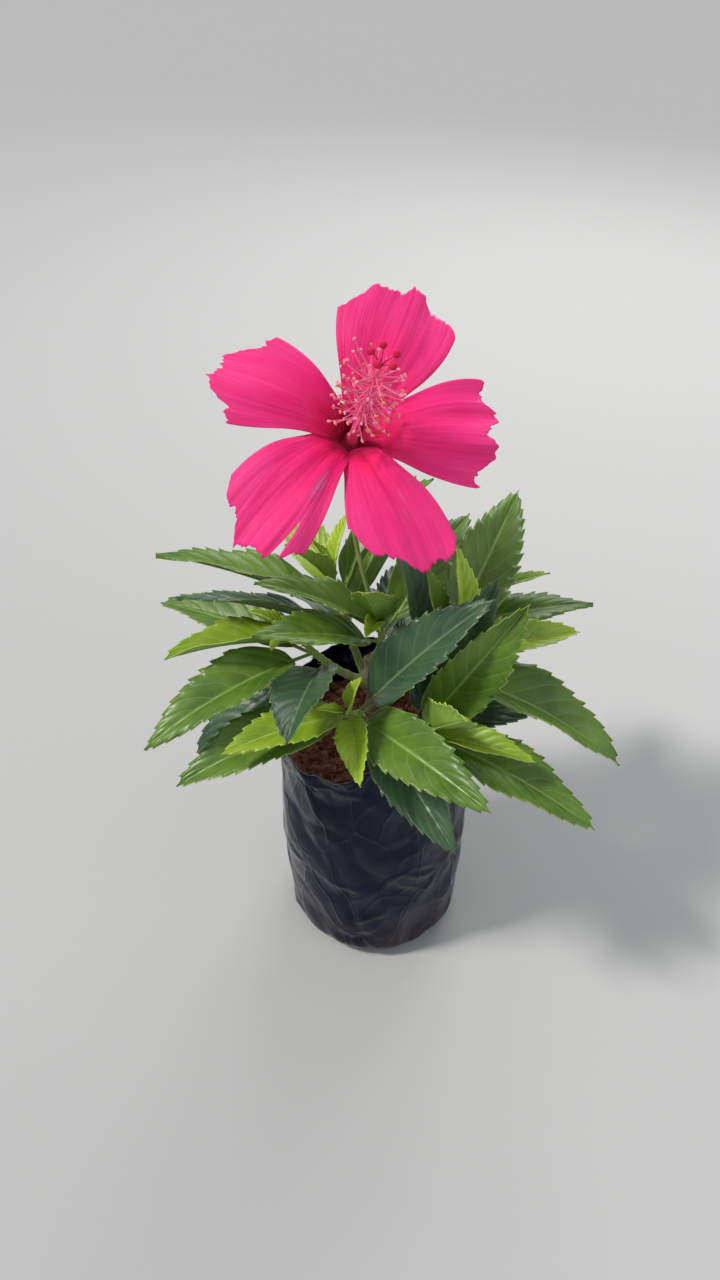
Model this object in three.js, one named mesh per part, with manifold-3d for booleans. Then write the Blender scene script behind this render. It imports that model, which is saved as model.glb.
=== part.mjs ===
// A young hibiscus shrub raised from a cutting, in flower, in a film nursery bag of red soil.
// Units are millimetres and degrees, and +Z is up. The origin is the centre of the bag's flat underside.
// The bloom faces -Y and leans up. Every shape below is worked out from the sizes in the next section.
import * as THREE from "three";
import { mergeVertices } from "three/addons/utils/BufferGeometryUtils.js";
import Module from "manifold-3d";

const wasm = await Module();
wasm.setup();

// Driving sizes. A wave is [size, how many times round, phase], and a pair of values is [foot, tip].
const seatGap = 0.3;
const soilTop = 131;
const bag = {
  foot: 37, radius: 47, height: 149, film: 0.9, sides: 32, crown: 0.8, creased: [2, 110],
  body: [[1.2, 2, 0.6], [0.35, 7, 1.3]],
  collar: [[2.2, 3, 2.2], [1.2, 8, 0], [1, 13, 0.9]],
  rim: [[4.2, 2, 4.4], [2.8, 5, 2.1]],
};
const soil = {
  swell: 1.3, crumble: 0.7, level: [9, 17], sunkEdge: 2.2, edge: [30, 46], rings: [38, 28, 18, 9],
};
const stem = { height: 50, radius: [3.6, 3], flare: 1.1, flaredTo: 0.16, lean: [-3, 4], cutSlope: 24 };

// Each shoot: where it leaves the stem, how far its tip stands out and up, and what it carries.
const shoots = [
  { name: "leader", from: 40, toward: 60, kick: 13, out: 7, up: 32, leaves: 8, blade: 72, turn: 20 },
  { name: "left", from: 34, toward: 188, kick: 24, out: 38, up: 42, leaves: 9, blade: 84, turn: 8 },
  { name: "right", from: 31, toward: -12, kick: 24, out: 42, up: 38, leaves: 9, blade: 90, turn: 30 },
  { name: "back", from: 28, toward: 122, kick: 24, out: 40, up: 54, leaves: 9, blade: 84, turn: -10 },
  { name: "front", from: 24, toward: 250, kick: 22, out: 38, up: 28, leaves: 8, blade: 84, turn: 12 },
  { name: "front_right", from: 17, toward: 305, kick: 26, out: 46, up: 24, leaves: 8, blade: 80, turn: 60 },
  { name: "rear_right", from: 20, toward: 52, kick: 28, out: 46, up: 46, leaves: 8, blade: 84, turn: 4 },
];
const twig = { radius: [2.3, 1.2], collar: 0.7, bough: 0.38, sag: 0.3, bud: 1.92, leafy: [0.43, 0.985] };
const spiral = 144;

// Leaves, in shares of their own length unless degrees, radians of bend or a gap are meant
const leaf = {
  width: 0.38, outline: [0.62, 1.12], tipWidth: 0.012, thick: 0.011, thinnest: 0.45, facet: 17,
  oldest: 0.82, grown: 0.35, youngest: 0.2, toothed: [0.2, 0.3], tooth: 0.08, stalk: 0.013, stalkEnd: 0.05,
  incline: [60, 24], petiole: [0.2, 0.07], fold: [20, 38], bend: [0.5, 0.18], straightest: 0.08, skyward: 0.8,
  vary: { length: 0.06, turn: 8, incline: 6, roll: 16, fold: 7, bend: 0.3 },
};
// How a leaf's size, place and steepness run with its youth, as powers
const ageing = { size: 1.05, place: 0.85, incline: 1.15 };
const clearance = { blade: 4.6, ownBlade: 3.2, limb: 2.6, petal: 7, bag: 9, lowest: 70 };
const tries = {
  shrinks: [1, 0.8, 0.64],
  tilts: [0, 9, -9, 18, -18, 27, -27],
  turns: [0, 12, -12, 24, -24, 36, -36, 48, -48, 60, -60, 72, -72],
};

// The bloom, in its own frame: z is its axis, measured from the foot of its petals
const bloom = { foot: [-11.8, 27, soilTop + 153.2], bearing: 8, elevation: 46 };
const petals = [
  { angle: 69, length: 1.05, lean: -0.12, swing: 0, wide: 0.86, corner: 0.15 },
  { angle: -1, length: 1, lean: 0, swing: 0, wide: 0.76, corner: 0.08 },
  { angle: -73, length: 1.05, lean: 0.28, swing: 0.12, wide: 0.68, corner: 0.14 },
  { angle: -143, length: 1.07, lean: -0.05, swing: 0.17, wide: 0.76, corner: 0.14 },
  { angle: 148, length: 1.02, lean: -0.05, swing: 0.16, wide: 0.74, corner: 0.17 },
];
const petal = {
  rise: [[3.75, 0.8], [6, 19], [22, 31], [57, 23]], spread: [0.62, 0.98, -1.1], thick: 0.8,
  widening: [0.1, 0.6], lap: 1.3, lapping: [0.03, 0.2], arch: 3.2, roll: 0.08, ripple: 1.9, notch: 0.02,
};
const tear = { petal: 3, at: 0.6, depth: 0.2, width: 0.05 };
const column = { length: 64, radius: [1.7, 1], swell: 1.3, straight: 0.55, rise: 10, sideways: 5 };
const stamens = {
  count: 28, along: [0.4, 0.93], turn: 137.5, length: 11.5, lift: 0.25, radius: [0.32, 0.95],
};
const styles = { count: 5, turn: 20, length: 9, splay: 34, radius: 0.45, stigma: 1.25 };
const calyx = {
  base: -4, mouth: 15, foot: 2.6, teeth: 5, tooth: 4.5, flare: 0.3, wall: 0.8, room: 0.5, sides: 16,
};
const bracts = { count: 7, turn: 18, foot: [2.2, -3.2], tip: [13.5, 6.5], radius: [0.9, 0.35] };
const stalk = { from: 0.8, radius: [1.15, 1.7], bow: [-12, 12, 24], tail: 18, drift: -3 };

// Small helpers
const radians = THREE.MathUtils.degToRad;
const degrees = THREE.MathUtils.radToDeg;
const mix = THREE.MathUtils.lerp;
const smooth = THREE.MathUtils.smoothstep;
const between = ([foot, tip], share) => mix(foot, tip, share);
const waves = (list, angle) =>
  list.reduce((sum, [size, times, phase]) => sum + size * Math.sin(times * angle + phase), 0);

function polar(angle, size = 1, height = 0) {
  return new THREE.Vector3(Math.cos(radians(angle)) * size, Math.sin(radians(angle)) * size, height);
}

// A unit vector turned towards another at right angles to it.
function turned(first, second, angle) {
  return first.clone().multiplyScalar(Math.cos(angle)).addScaledVector(second, Math.sin(angle));
}

// The direction of a vector beside a unit vector, at right angles to it.
function squared(vector, unit) {
  return vector.clone().addScaledVector(unit, -vector.dot(unit)).normalize();
}

// A repeatable number from -1 to 1 for an index and a salt.
function scatter(index, salt) {
  const wave = Math.sin(index * 12.9898 + salt * 78.233) * 43758.5453;
  return 2 * (wave - Math.floor(wave)) - 1;
}

// Solids
function solid(geometry) {
  const bare = geometry.clone();
  bare.deleteAttribute("normal");
  bare.deleteAttribute("uv");
  const merged = mergeVertices(bare, 1e-4);
  return new wasm.Manifold(
    new wasm.Mesh({
      numProp: 3,
      vertProperties: merged.getAttribute("position").array,
      triVerts: new Uint32Array(merged.index.array),
    }),
  );
}

function geometryOf(body) {
  const made = body.getMesh();
  const places = new Float32Array(made.numVert * 3);
  for (let i = 0; i < made.numVert; i += 1)
    places.set(made.vertProperties.subarray(i * made.numProp, i * made.numProp + 3), i * 3);
  const geometry = new THREE.BufferGeometry();
  geometry.setAttribute("position", new THREE.BufferAttribute(places, 3));
  geometry.setIndex(new THREE.BufferAttribute(new Uint32Array(made.triVerts), 1));
  geometry.computeVertexNormals();
  return geometry;
}

const fuse = (pieces) => pieces.reduce((whole, piece) => whole.add(piece));

// The outermost shell of a body, without its loose crumbs or closed pockets.
function mainBody(body) {
  return body.decompose().reduce((best, piece) => (piece.volume() > best.volume() ? piece : best));
}

// Moves every vertex of a geometry to where the rule puts it.
function reshape(geometry, rule) {
  const at = geometry.getAttribute("position");
  for (let i = 0; i < at.count; i += 1) {
    const moved = rule(at.getX(i), at.getY(i), at.getZ(i));
    at.setXYZ(i, moved.x, moved.y, moved.z);
  }
  return geometry;
}

// The part of a curve between two of its parameters.
class Stretch extends THREE.Curve {
  constructor(whole, from, to) {
    super();
    this.whole = whole;
    this.from = from;
    this.to = to;
  }
  getPoint(t) {
    return this.whole.getPoint(mix(this.from, this.to, t));
  }
}

// A closed limb along a curve. radiusAt takes 0 at the foot and 1 at the tip.
function limb(curve, radiusAt, sides, steps) {
  const frames = curve.computeFrenetFrames(steps, false);
  return reshape(new THREE.CylinderGeometry(1, 1, 1, sides, steps), (x, y, z) => {
    const share = y + 0.5;
    const step = Math.round(share * steps);
    return curve
      .getPointAt(share)
      .addScaledVector(frames.binormals[step], x * radiusAt(share))
      .addScaledVector(frames.normals[step], z * radiusAt(share));
  });
}

// A straight limb between two points.
function strut(from, to, radiusAt, sides, steps) {
  return solid(limb(new THREE.LineCurve3(from, to), radiusAt, sides, steps));
}

// A closed sheet over a surface of u from 0 to 1 and v from -1 to 1.
function sheet(surface, thickness, alongSteps, acrossSteps) {
  const step = 1e-3;
  return reshape(new THREE.BoxGeometry(1, 2, 1, alongSteps, acrossSteps, 1), (x, y, z) => {
    const u = x + 0.5;
    const along = surface(u + step, y).sub(surface(u - step, y));
    const across = surface(u, y + step).sub(surface(u, y - step));
    const normal = along.cross(across).normalize();
    return surface(u, y).addScaledVector(normal, Math.sign(z) * thickness / 2);
  });
}

// The bag and its soil. This is how far the wall stands off a plain turned shape, all the way round.
function wallShift(angle, height) {
  const body = waves(bag.body, angle) * smooth(height, ...bag.creased);
  return body + waves(bag.collar, angle) * smooth(height, soilTop, bag.height);
}

// Turns a profile and gives it the bag's creases. Above the soil it is stretched to the wavy rim.
function bagTurned(profile) {
  const points = profile.map(([radius, height]) => new THREE.Vector2(radius, height));
  return reshape(new THREE.LatheGeometry(points, bag.sides), (x, height, z) => {
    const angle = Math.atan2(-z, x);
    const plain = Math.hypot(x, z);
    const radius = plain + wallShift(angle, height) * smooth(plain, bag.foot / 3, bag.foot);
    const above = Math.max(0, height - soilTop) / (bag.height - soilTop);
    return polar(degrees(angle), radius, height + waves(bag.rim, angle) * above);
  });
}

const wall = [
  [bag.foot, 0],
  [bag.radius * 0.89, 1.6],
  [bag.radius * 0.965, 5.6],
  [bag.radius, 12],
  [bag.radius + bag.crown * 0.75, 42],
  [bag.radius + bag.crown, 76],
  [bag.radius + bag.crown * 0.5, 106],
  [bag.radius, soilTop - 8],
];

function bagGeometry() {
  const collar = [[bag.radius + 0.3, soilTop], [bag.radius + 0.9, soilTop + 8], [bag.radius + 2, bag.height]];
  const outside = [...wall, ...collar];
  const inside = outside.map(([radius, height]) => [radius - bag.film, Math.max(height, bag.film)]);
  return bagTurned([[0, 0], ...outside, ...inside.reverse(), [0, bag.film]]);
}

function soilBump(x, y) {
  const out = Math.hypot(x, y);
  const swell = soil.swell * Math.sin(x / 9 + 1) * Math.cos(y / 8 + 2);
  const crumble = soil.crumble * Math.sin(x / 4 + y / 5);
  return (swell + crumble) * smooth(out, ...soil.level) - soil.sunkEdge * smooth(out, ...soil.edge);
}

function soilGeometry() {
  const off = bag.film + seatGap;
  const side = wall.map(([radius, height]) => [radius - off, Math.max(height, off)]);
  const top = [bag.radius - off, ...soil.rings, 0].map((radius) => [radius, soilTop]);
  return reshape(bagTurned([[0, off], ...side, ...top]), (x, y, z) => {
    const bump = z > soilTop - 4 ? soilBump(x, y) : 0;
    return new THREE.Vector3(x, y, z + bump);
  });
}

// The woody cutting
const stemFoot = new THREE.Vector3(0, 0, soilTop + seatGap);
const stemCurve = new THREE.QuadraticBezierCurve3(
  stemFoot,
  stemFoot.clone().setZ(stemFoot.z + stem.height / 2),
  stemFoot.clone().add(new THREE.Vector3(...stem.lean, stem.height)),
);

function stemRadius(share) {
  return between(stem.radius, share) + stem.flare * (1 - smooth(share, 0, stem.flaredTo));
}

// The stem with an oblique cut across its top, grown all round by a spare width.
function stemSolid(spare) {
  const cutter = new THREE.BoxGeometry(40, 40, 20).translate(0, 0, 10).rotateX(radians(stem.cutSlope));
  cutter.translate(...stemCurve.getPoint(1).toArray()).translate(0, 0, -stem.radius[1] / 2);
  return solid(limb(stemCurve, (share) => stemRadius(share) + spare, 10, 9)).subtract(solid(cutter));
}

// The shoots: a curve each, bare as far as the bough's tip and leafy beyond it
for (const shoot of shoots) {
  const start = stemCurve.getPoint(shoot.from / stem.height);
  const knee = polar(shoot.toward, shoot.kick, shoot.up * twig.sag);
  const tip = polar(shoot.toward, shoot.out, shoot.up);
  shoot.curve = new THREE.QuadraticBezierCurve3(start, start.clone().add(knee), start.clone().add(tip));
}

function boughSolid(shoot) {
  const swell = (share) => twig.collar * (1 - smooth(share, 0.2, 0.6));
  const radius = (share) => between(twig.radius, share * twig.bough) + swell(share);
  const curve = new Stretch(shoot.curve, 0, twig.bough);
  return mainBody(solid(limb(curve, radius, 7, 4)).subtract(stemSolid(seatGap)));
}

function twigSolid(shoot, spare) {
  const start = twig.bough + seatGap / shoot.curve.getLength();
  const radius = (share) => between(twig.radius, mix(start, 1, share)) + spare;
  return solid(limb(new Stretch(shoot.curve, start, 1), radius, 7, 6));
}

// The bloom's frame
const lift = radians(bloom.elevation);
const bloomAxis = polar(bloom.bearing - 90, Math.cos(lift), Math.sin(lift));
const bloomRight = squared(new THREE.Vector3(1, 0, 0), bloomAxis);
const bloomUp = bloomAxis.clone().cross(bloomRight);
const bloomPlace = new THREE.Matrix4().makeBasis(bloomRight, bloomUp, bloomAxis).setPosition(...bloom.foot);

const petalRise = new THREE.CubicBezierCurve(...petal.rise.map((point) => new THREE.Vector2(...point)));
const acrossPetal = [-1, -0.5, 0, 0.5, 1];

// A petal's surface, with x straight out from the axis. Its corners are cut back, and one petal is torn.
// One side laps inside the next petal and the other side outside it, all the way round.
function petalSurface(index) {
  const { length, lean, swing, wide, corner } = petals[index];
  return (u, v) => {
    const torn = index === tear.petal ? tear.depth * Math.exp(-(((v - tear.at) / tear.width) ** 2)) : 0;
    const notch = petal.notch * Math.sin(9 * v + 2 * index) * smooth(u, 0.6, 1);
    const t = u * (length - corner * (v - lean) ** 2 - torn - notch);
    const { x, y } = petalRise.getPoint(t);
    const ahead = petalRise.getTangent(Math.min(1, Math.max(0, t)));
    const spread = petal.spread[0] + petal.spread[1] * t + petal.spread[2] * t * t;
    const half = x * spread * mix(1, wide, smooth(t, ...petal.widening));
    const lap = petal.lap * v * smooth(t, ...petal.lapping);
    const wave = petal.ripple * t ** 3 * Math.sin(4.4 * v + 1.7 * index);
    const height = y - petal.arch * v * v * t * t + petal.roll * half * v + wave;
    return new THREE.Vector3(x - ahead.y * lap, half * v + swing * x * t, height + ahead.x * lap);
  };
}

// The staminal column, with its stamens and the five styles at its tip
const columnCurve = new THREE.QuadraticBezierCurve3(
  new THREE.Vector3(0, 0, seatGap),
  new THREE.Vector3(0, 0, column.length * column.straight),
  new THREE.Vector3(column.sideways, column.rise, column.length),
);
const columnRadius = (share) => between(column.radius, share) + column.swell * (1 - smooth(share, 0.06, 0.2));

// A place on the column, with the way ahead there and a way straight out at an angle.
function onColumn(share, angle) {
  const ahead = columnCurve.getTangent(share);
  const side = squared(new THREE.Vector3(1, 0, 0), ahead);
  return { at: columnCurve.getPoint(share), ahead, out: turned(side, ahead.clone().cross(side), angle) };
}

function stamenSolid(index) {
  const share = between(stamens.along, index / (stamens.count - 1));
  const { at, ahead, out } = onColumn(share, radians(index * stamens.turn));
  const length = stamens.length * (1 + 0.2 * scatter(index, 3));
  const rise = length * (stamens.lift + 0.3 * scatter(index, 4));
  const end = at.clone().addScaledVector(out, length).addScaledVector(ahead, rise);
  return strut(at, end, (part) => (part > 0.9 ? stamens.radius[1] : stamens.radius[0]), 3, 3);
}

function styleSolid(index) {
  const { at, ahead, out } = onColumn(0.99, radians(index * 360 / styles.count + styles.turn));
  const end = at.clone().addScaledVector(turned(ahead, out, radians(styles.splay)), styles.length);
  const stigma = new THREE.OctahedronGeometry(styles.stigma, 0).translate(...end.toArray());
  return strut(at, end, () => styles.radius, 4, 1).add(solid(stigma));
}

function columnSolid() {
  const pieces = [solid(limb(columnCurve, columnRadius, 8, 14))];
  for (let i = 0; i < stamens.count; i += 1) pieces.push(stamenSolid(i));
  for (let i = 0; i < styles.count; i += 1) pieces.push(styleSolid(i));
  return fuse(pieces);
}

// How far out the petals reach up to a height, with room to spare round them.
function petalReach(height) {
  let reach = 0;
  petals.forEach((_, index) => {
    const surface = petalSurface(index);
    for (let u = 0; u < 0.6; u += 0.02)
      for (const v of acrossPetal) {
        const at = surface(u, v);
        if (at.z < height + petal.thick) reach = Math.max(reach, Math.hypot(at.x, at.y));
      }
  });
  return (reach + petal.thick / 2 + calyx.room) / Math.cos(Math.PI / calyx.sides);
}

// The calyx is a bell round the petals' feet, with pointed teeth.
function bellGeometry() {
  const inside = [0.5, 4, 8, 11.5, calyx.mouth].map((height) => [petalReach(height), height]);
  const outside = inside.map(([radius, height]) => [radius + calyx.wall, height]);
  const foot = [[0, calyx.base], [calyx.foot, calyx.base]];
  const floor = [[inside[0][0], 0], [0, 0]];
  const outline = [...foot, ...outside, ...inside.reverse(), ...floor];
  const points = outline.map(([radius, height]) => new THREE.Vector2(radius, height));
  return reshape(new THREE.LatheGeometry(points, calyx.sides), (x, height, z) => {
    const angle = Math.atan2(-z, x);
    const tooth = Math.max(0, Math.cos(calyx.teeth * angle)) * smooth(height, 8, calyx.mouth);
    const radius = Math.hypot(x, z) * (1 + calyx.flare * smooth(tooth, 0, 1));
    return polar(degrees(angle), radius, height + calyx.tooth * tooth);
  });
}

// The bell, with a ring of narrow bracts below it.
function calyxSolid() {
  const pieces = [solid(bellGeometry())];
  for (let i = 0; i < bracts.count; i += 1) {
    const angle = i * 360 / bracts.count + bracts.turn;
    const radius = (share) => between(bracts.radius, share);
    pieces.push(strut(polar(angle, ...bracts.foot), polar(angle, ...bracts.tip), radius, 3, 1));
  }
  return fuse(pieces);
}

// The flower's stalk leaves the leader near its tip and comes up behind the bloom
const leader = shoots[0];
const stalkStart = leader.curve.getPoint(stalk.from);
const stalkEnd = new THREE.Vector3(0, 0, calyx.base - seatGap).applyMatrix4(bloomPlace);
const stalkTail = stalkEnd.clone().addScaledVector(bloomAxis, -stalk.tail);
const stalkCurve = new THREE.CubicBezierCurve3(
  stalkStart,
  stalkStart.clone().add(new THREE.Vector3(...stalk.bow)),
  stalkTail.setX(stalkTail.x + stalk.drift),
  stalkEnd,
);

function stalkSolid() {
  const radius = (share) => between(stalk.radius, smooth(share, 0.8, 1));
  return mainBody(solid(limb(stalkCurve, radius, 6, 14)).subtract(twigSolid(leader, seatGap)));
}

// Leaves
function leafLength(shoot, youth) {
  if (youth < leaf.grown) return shoot.blade * mix(leaf.oldest, 1, youth / leaf.grown);
  return shoot.blade * mix(1, leaf.youngest, ((youth - leaf.grown) / (1 - leaf.grown)) ** ageing.size);
}

// A leaf of this order on its shoot, from 0 for the oldest, moved off its own place by a turn and a tilt.
function leafPlan(shoot, order, shrink, tilt, turn) {
  const youth = order / (shoot.leaves - 1);
  const chance = (salt) => scatter(order + 1, shoot.from + salt);
  const length = leafLength(shoot, youth) * (1 + leaf.vary.length * chance(0)) * shrink;
  const t = between(twig.leafy, youth ** ageing.place);
  const root = shoot.curve.getPoint(t);
  const ahead = shoot.curve.getTangent(t);
  const outward = squared(polar(shoot.toward), ahead);
  const angle = shoot.turn + order * spiral + leaf.vary.turn * chance(1) + turn;
  const radial = turned(outward, ahead.clone().cross(outward), radians(angle));
  const incline = between(leaf.incline, youth ** ageing.incline) + leaf.vary.incline * chance(2) + tilt;
  const along = turned(ahead, radial, radians(incline));
  const up = squared(ahead.setZ(ahead.z + leaf.skyward), along);
  const lateral = turned(up.clone().cross(along), up, radians(leaf.vary.roll * chance(3)));
  return {
    length, along, lateral, root,
    up: along.clone().cross(lateral),
    base: root.clone().addScaledVector(along, Math.max(2.2, length * between(leaf.petiole, youth))),
    fold: radians(between(leaf.fold, youth) + leaf.vary.fold * chance(4)),
    bend: Math.max(leaf.straightest, between(leaf.bend, youth) + leaf.vary.bend * chance(5)),
  };
}

const [footPower, tipPower] = leaf.outline;
const widest = footPower / (footPower + tipPower);
const fullest = widest ** footPower * (1 - widest) ** tipPower;

function halfWidth(u) {
  const inside = THREE.MathUtils.clamp(u, 0, 1);
  return leaf.width / 2 * inside ** footPower * (1 - inside) ** tipPower / fullest + leaf.tipWidth;
}

// A blade's surface: folded along a midrib that bends down in an arc, and toothed past its first quarter.
function bladeSurface(plan, teeth) {
  return (u, v) => {
    const arc = plan.bend * u;
    const over = turned(plan.up, plan.along, arc);
    const tooth = leaf.tooth * Math.cos(Math.PI * teeth * u) * smooth(u, ...leaf.toothed);
    const half = plan.length * halfWidth(u) * (1 + tooth * v * v);
    return plan.base
      .clone()
      .addScaledVector(plan.along, plan.length * Math.sin(arc) / plan.bend)
      .addScaledVector(plan.up, -plan.length * (1 - Math.cos(arc)) / plan.bend)
      .addScaledVector(plan.lateral, half * v * Math.cos(plan.fold))
      .addScaledVector(over, half * Math.abs(v) * Math.sin(plan.fold));
  };
}

const alongBlade = 18;
const acrossBlade = [-1, -0.67, -0.33, 0, 0.33, 0.67, 1];

// Points that stand for a leaf when its room is tested. Leaves of one shoot keep their outer points apart.
function leafSamples(plan) {
  const surface = bladeSurface(plan, 0);
  const petiole = [0.4, 0.7, 1].map((share) => plan.root.clone().lerp(plan.base, share));
  const samples = petiole.map((at) => ({ at, outer: false }));
  for (let i = 1; i <= alongBlade; i += 1)
    for (const v of acrossBlade) {
      const u = i / alongBlade;
      samples.push({ at: surface(u, v), outer: u >= 0.25 });
    }
  return samples;
}

// Everything a new leaf has to keep off, each with its own distance
const taken = [];
const keep = (at, gap, owner, outer = false) => taken.push({ at, gap, owner, outer });

for (let i = 0; i <= 12; i += 1)
  keep(stemCurve.getPoint(i / 12), stemRadius(i / 12) + clearance.limb, "stem");
for (const shoot of shoots)
  for (let i = 0; i <= 10; i += 1)
    keep(shoot.curve.getPoint(i / 10), between(twig.radius, i / 10) + clearance.limb, shoot.name);
for (let i = 1; i <= 20; i += 1)
  keep(stalkCurve.getPoint(i / 20), stalk.radius[0] + clearance.limb, "stalk");
petals.forEach(({ angle }, index) => {
  const place = bloomPlace.clone().multiply(new THREE.Matrix4().makeRotationZ(radians(angle)));
  const surface = petalSurface(index);
  for (const u of [0.45, 0.6, 0.75, 0.9, 1])
    for (const v of acrossPetal) keep(surface(u, v).applyMatrix4(place), clearance.petal, "bloom");
});

function isClear(samples, owner) {
  return samples.every(({ at, outer }) => {
    const overBag = Math.hypot(at.x, at.y) < bag.radius + clearance.bag;
    if (at.z < (overBag ? bag.height + clearance.bag : clearance.lowest)) return false;
    return taken.every((other) => {
      const apart = at.distanceTo(other.at);
      if (other.owner !== owner) return apart > other.gap;
      return !(outer && other.outer) || apart > clearance.ownBlade;
    });
  });
}

// A leaf is turned, then tilted, then shortened until it is clear, or else left out.
function placedLeaf(shoot, order) {
  for (const shrink of tries.shrinks)
    for (const tilt of tries.tilts)
      for (const turn of tries.turns) {
        const plan = leafPlan(shoot, order, shrink, tilt, turn);
        const samples = leafSamples(plan);
        if (!isClear(samples, shoot.name)) continue;
        for (const { at, outer } of samples) keep(at, clearance.blade, shoot.name, outer);
        return plan;
      }
  return null;
}

// The shoots take turns, so that each finds room for its leaves.
const mostLeaves = Math.max(...shoots.map((shoot) => shoot.leaves));
for (const shoot of shoots) shoot.plans = [];
for (let order = 0; order < mostLeaves; order += 1)
  for (const shoot of shoots) {
    const plan = order < shoot.leaves ? placedLeaf(shoot, order) : null;
    if (plan) shoot.plans.push(plan);
  }

// A blade and its petiole. The blade has a tooth for every second step along it.
function leafSolid(plan) {
  const steps = 2 * THREE.MathUtils.clamp(Math.ceil(plan.length / leaf.facet), 2, 4);
  const blade = sheet(bladeSurface(plan, steps), Math.max(leaf.thinnest, plan.length * leaf.thick), steps, 2);
  const end = plan.base.clone().addScaledVector(plan.along, plan.length * leaf.stalkEnd);
  return solid(blade).add(strut(plan.root, end, () => Math.max(0.75, plan.length * leaf.stalk), 3, 1));
}

function massSolid(shoot) {
  const bud = new THREE.SphereGeometry(twig.bud, 6, 4).scale(1, 1, 1.5);
  const tip = solid(bud.translate(...shoot.curve.getPoint(1).toArray()));
  return mainBody(fuse([twigSolid(shoot, 0), tip, ...shoot.plans.map(leafSolid)]));
}

// Finishes
const finish = (color, roughness) => new THREE.MeshStandardMaterial({ color, roughness, metalness: 0 });
const finishes = {
  film: finish("#14161f", 0.3),
  soil: finish("#5e2a20", 0.95),
  wood: finish("#8a6a55", 0.85),
  shoot: finish("#5c6b2c", 0.6),
  foliage: finish("#4d8224", 0.4),
  green: finish("#7d9440", 0.55),
  petal: finish("#e3174f", 0.55),
  stamen: finish("#e04a6e", 0.5),
};

function named(name, geometry, material) {
  const mesh = new THREE.Mesh(geometry, material);
  mesh.name = name;
  return mesh;
}

// The assembly
const shrub = new THREE.Group();
shrub.add(named("nursery_bag", bagGeometry(), finishes.film));
shrub.add(named("soil", soilGeometry(), finishes.soil));
shrub.add(named("woody_stem", geometryOf(stemSolid(0)), finishes.wood));
for (const shoot of shoots) {
  shrub.add(named("bough_" + shoot.name, geometryOf(boughSolid(shoot)), finishes.shoot));
  shrub.add(named("foliage_" + shoot.name, geometryOf(massSolid(shoot)), finishes.foliage));
}
shrub.add(named("flower_stalk", geometryOf(stalkSolid()), finishes.green));

const flower = new THREE.Group();
flower.applyMatrix4(bloomPlace);
flower.add(named("calyx", geometryOf(calyxSolid()), finishes.green));
flower.add(named("stamen_column", geometryOf(columnSolid()), finishes.stamen));
petals.forEach(({ angle }, index) => {
  const blade = sheet(petalSurface(index), petal.thick, 8, 10);
  const mesh = named("petal_" + (index + 1), blade, finishes.petal);
  mesh.rotation.z = radians(angle);
  flower.add(mesh);
});
shrub.add(flower);

export default shrub;
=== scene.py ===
"""Looks for a young hibiscus shrub in flower, grown from a cutting in a film nursery bag of red soil.

Sizes are in millimetres and degrees, in the part's own frame, and made_piece turns them into metres.
A wave is (size, how many times round, phase), and a pair of values is (foot, tip).
"""

from itertools import product
from math import cos, dist, exp, floor, hypot, pi, radians, sin, sqrt
from operator import add, itemgetter, mul, sub
from random import Random
from types import SimpleNamespace as Sizes

import bmesh
import bpy
from mathutils import Matrix, Vector
from mathutils.kdtree import KDTree
from mathutils.noise import noise, voronoi


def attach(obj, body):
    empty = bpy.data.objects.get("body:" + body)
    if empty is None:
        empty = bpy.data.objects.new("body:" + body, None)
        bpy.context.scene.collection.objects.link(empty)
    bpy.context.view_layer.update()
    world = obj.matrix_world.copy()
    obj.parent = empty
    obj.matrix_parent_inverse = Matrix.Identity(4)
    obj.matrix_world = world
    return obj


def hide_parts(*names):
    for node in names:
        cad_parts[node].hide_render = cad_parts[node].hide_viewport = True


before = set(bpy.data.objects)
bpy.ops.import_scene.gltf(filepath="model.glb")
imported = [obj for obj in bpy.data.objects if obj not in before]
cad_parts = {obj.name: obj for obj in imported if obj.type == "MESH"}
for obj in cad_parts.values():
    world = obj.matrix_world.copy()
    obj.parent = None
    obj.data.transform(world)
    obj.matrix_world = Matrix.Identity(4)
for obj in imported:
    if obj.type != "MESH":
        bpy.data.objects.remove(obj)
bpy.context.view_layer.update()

METRES = 0.001
TURN = 2 * pi


def table(labels, *rows):
    """Things of one kind, each with its own row of values."""
    return [Sizes(**dict(zip(labels.split(), row))) for row in rows]


# Camera
camera_at = (-0.0076, -0.3445, 0.506)
camera_pitch = 42
focal_pixels = 1000
frame_height_pixels = 1280
sensor = 36

# Driving sizes, as in the part's source
seat_gap = 0.3
soil_top = 131
bag = Sizes(
    foot=37, radius=47, height=149, round=12, crown=0.8, crowned=(12, 123), creased=(2, 110), film=0.4,
    body=[(1.2, 2, 0.6), (0.35, 7, 1.3)],
    collar=[(2.2, 3, 2.2), (1.2, 8, 0), (1, 13, 0.9)],
    rim=[(4.2, 2, 4.4), (2.8, 5, 2.1)],
)
soil = Sizes(swell=1.3, crumble=0.7, level=(9, 17), sunk_edge=2.2, edge=(30, 46))
stem = Sizes(height=50, radius=(3.6, 3), flare=1.1, flared_to=0.16, lean=(-3, 4), cut_slope=24)
shoots = table(
    "name start toward kick out up leaves blade turn",
    ("leader", 40, 60, 13, 7, 32, 8, 72, 20),
    ("left", 34, 188, 24, 38, 42, 9, 84, 8),
    ("right", 31, -12, 24, 42, 38, 9, 90, 30),
    ("back", 28, 122, 24, 40, 54, 9, 84, -10),
    ("front", 24, 250, 22, 38, 28, 8, 84, 12),
    ("front_right", 17, 305, 26, 46, 24, 8, 80, 60),
    ("rear_right", 20, 52, 28, 46, 46, 8, 84, 4),
)
twig = Sizes(radius=(2.3, 1.2), collar=0.7, bough=0.38, sag=0.3, leafy=(0.43, 0.985))
spiral = 144
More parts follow.
